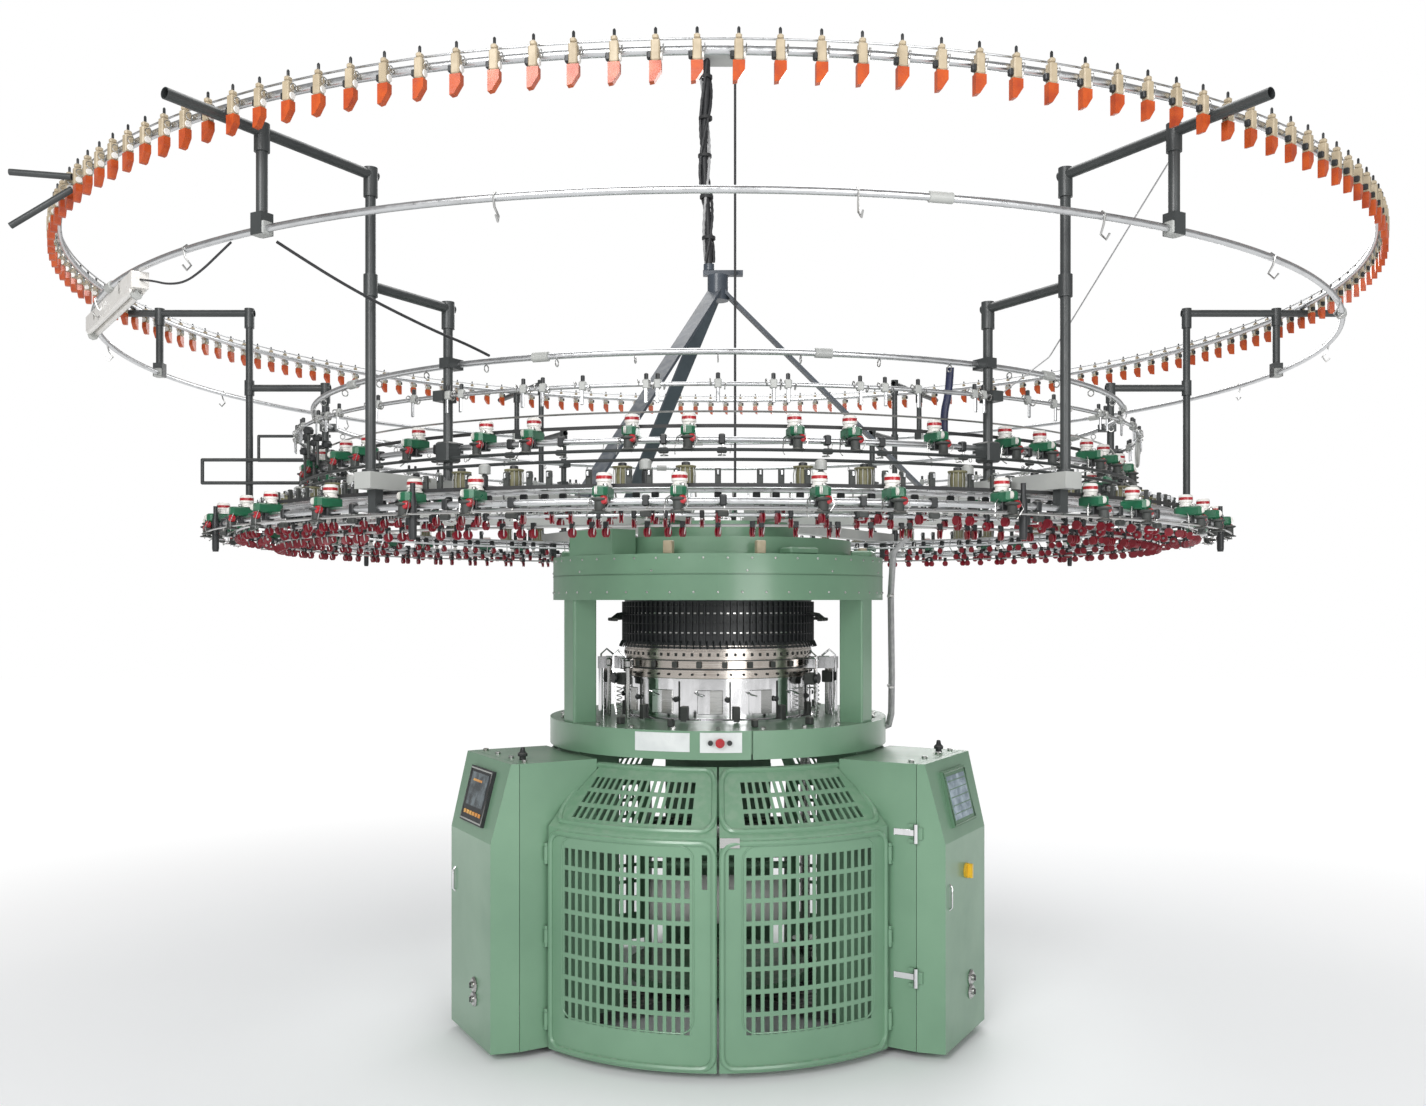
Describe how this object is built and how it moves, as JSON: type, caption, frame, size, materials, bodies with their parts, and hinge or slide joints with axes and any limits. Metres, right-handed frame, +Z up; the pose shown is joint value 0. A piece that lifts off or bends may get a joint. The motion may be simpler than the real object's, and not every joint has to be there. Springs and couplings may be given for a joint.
{
  "type": "industrial circular knitting machine",
  "caption": "Large circular knitting machine: cabinet base with gate doors, knitting head on columns, and wide rings of feeders and stop motions on posts.",
  "frame": {"origin": "on the floor, under the axis of the needle cylinder", "axes": "+Z up along the cylinder's axis, front of the machine towards -Y, +X to the right"},
  "size_m": [5.02, 4.7436, 3.777],
  "materials": {
    "green_paint": "satin enamel",
    "steel": "machined",
    "chrome": "polished",
    "dark_tube": "dark grey enamel",
    "grey_paint": "light grey enamel",
    "aluminium": "drawn",
    "black_plastic": "matt",
    "red_plastic": "gloss",
    "green_plastic": "gloss",
    "white_plastic": "gloss",
    "beige_plastic": "satin",
    "orange_lamp": "translucent",
    "screen": "gloss",
    "blue_window": "gloss",
    "yellow_plastic": "gloss",
    "rubber": "matt",
    "cloth": "knitted cloth",
    "cast": "painted",
    "tape": "matt",
    "olive": "satin"
  },
  "bodies": {
    "frame": {"bed_fascia": "green_paint", "bed_plate": "green_paint", "cam_guard": "chrome", "cam_ring": "steel", "ceiling_plate": "grey_paint", "columns": "green_paint", "cross_tubes": "dark_tube", "data_cable": "black_plastic", "drive_belt": "rubber", "feed_tapes": "tape", "feeder_housings": "green_plastic", "feeder_pulleys": "white_plastic", "feeder_rings": "aluminium", "floor_frame": "cast", "gear_box": "green_paint", "guide_rings": "aluminium", "head_brackets": "chrome", "hinge_pins": "chrome", "lamp_batten": "white_plastic", "leg_cabinets": "green_paint", "legs": "green_paint", "levelling_feet": "cast", "motor": "grey_paint", "pipe_fittings": "black_plastic", "posts": "dark_tube", "radial_arms": "grey_paint", "rear_guards": "green_paint", "reel_ring": "aluminium", "side_cables": "black_plastic", "sign_plates": "white_plastic", "stop_lamps": "orange_lamp", "stop_motion_ring": "aluminium", "stop_motions": "beige_plastic", "striper_ring": "black_plastic", "supply_cable": "black_plastic", "top_cap": "green_paint", "top_drum": "green_paint", "tripod": "dark_tube", "yarn_reels": "olive", "yarn_wheels": "red_plastic"},
    "cylinder": {"needle_cylinder": "steel", "cylinder_gear": "steel"},
    "takedown": {"takedown_frame": "grey_paint"},
    "main_shaft": {"main_shaft": "steel"},
    "motor_rotor": {"motor_pulley": "steel"},
    "draw_roll_front": {"draw_roll_front": "steel"},
    "draw_roll_rear": {"draw_roll_rear": "steel"},
    "cloth_roll": {"cloth_roll": "cloth"},
    "door_right": {"door_right": "green_paint", "door_latch": "steel"},
    "door_left": {"door_left": "green_paint"},
    "cover_right": {"cover_right": "green_paint", "instrument_window": "blue_window"},
    "cover_left": {"cover_left": "green_paint", "touch_screen": "screen"},
    "cover_rear": {"cover_rear": "green_paint"},
    "main_switch": {"main_switch": "yellow_plastic"},
    "stop_button": {"stop_button": "red_plastic"},
    "start_button": {"start_button": "black_plastic"},
    "inch_button": {"inch_button": "black_plastic"}
  },
  "joints": [
    {"name": "cylinder_spin", "type": "hinge", "parent": "frame", "child": "cylinder", "pos_m": [0, 0, 1.1], "axis": [0, 0, 1], "continuous": true},
    {"name": "takedown_spin", "type": "hinge", "parent": "frame", "child": "takedown", "pos_m": [0, 0, 0.15], "axis": [0, 0, 1], "continuous": true},
    {"name": "shaft_spin", "type": "hinge", "parent": "frame", "child": "main_shaft", "pos_m": [0.36373, 0.21, 0.6], "axis": [0, 0, 1], "continuous": true},
    {"name": "motor_spin", "type": "hinge", "parent": "frame", "child": "motor_rotor", "pos_m": [0.64839, 0.23599, 0.2], "axis": [0, 0, 1], "continuous": true},
    {"name": "draw_roll_front_spin", "type": "hinge", "parent": "takedown", "child": "draw_roll_front", "pos_m": [0, -0.0365, 0.69], "axis": [1, 0, 0], "continuous": true},
    {"name": "draw_roll_rear_spin", "type": "hinge", "parent": "takedown", "child": "draw_roll_rear", "pos_m": [0, 0.0365, 0.69], "axis": [1, 0, 0], "continuous": true},
    {"name": "cloth_roll_spin", "type": "hinge", "parent": "takedown", "child": "cloth_roll", "pos_m": [0, 0, 0.4], "axis": [1, 0, 0], "continuous": true},
    {"name": "door_right_hinge", "type": "hinge", "parent": "frame", "child": "door_right", "pos_m": [0.60078, -0.63753, 0.42], "axis": [0, 0, 1], "range_deg": [0, 100]},
    {"name": "door_left_hinge", "type": "hinge", "parent": "frame", "child": "door_left", "pos_m": [-0.60078, -0.63753, 0.42], "axis": [0, 0, 1], "range_deg": [-100, 0]},
    {"name": "cover_right_hinge", "type": "hinge", "parent": "frame", "child": "cover_right", "pos_m": [0.685, -0.67954, 0.54], "axis": [0, 0, 1], "range_deg": [-110, 0]},
    {"name": "cover_left_hinge", "type": "hinge", "parent": "frame", "child": "cover_left", "pos_m": [-0.931, -0.25346, 0.54], "axis": [0, 0, 1], "range_deg": [-110, 0]},
    {"name": "cover_rear_hinge", "type": "hinge", "parent": "frame", "child": "cover_rear", "pos_m": [0.246, 0.933, 0.54], "axis": [0, 0, 1], "range_deg": [-110, 0]},
    {"name": "main_switch_turn", "type": "hinge", "parent": "cover_right", "child": "main_switch", "pos_m": [0.90067, -0.52, 0.628], "axis": [0.866, -0.5, 0], "range_deg": [0, 90]},
    {"name": "stop_button_press", "type": "slide", "parent": "frame", "child": "stop_button", "axis": [-0.0105, 0.9999, 0], "range_m": [0, 0.004], "stiffness_N_per_m": 400},
    {"name": "start_button_press", "type": "slide", "parent": "frame", "child": "start_button", "axis": [0.0384, 0.9993, 0], "range_m": [0, 0.004], "stiffness_N_per_m": 400},
    {"name": "inch_button_press", "type": "slide", "parent": "frame", "child": "inch_button", "axis": [-0.0593, 0.9982, 0], "range_m": [0, 0.004], "stiffness_N_per_m": 400}
  ],
  "couplings": [
    {"joint": "takedown_spin", "follows": "cylinder_spin", "ratio": 1},
    {"joint": "shaft_spin", "follows": "cylinder_spin", "ratio": -6},
    {"joint": "motor_spin", "follows": "cylinder_spin", "ratio": -7.3333},
    {"joint": "draw_roll_front_spin", "follows": "cylinder_spin", "ratio": 0.5},
    {"joint": "draw_roll_rear_spin", "follows": "cylinder_spin", "ratio": -0.5},
    {"joint": "cloth_roll_spin", "follows": "cylinder_spin", "ratio": 0.18947}
  ]
}
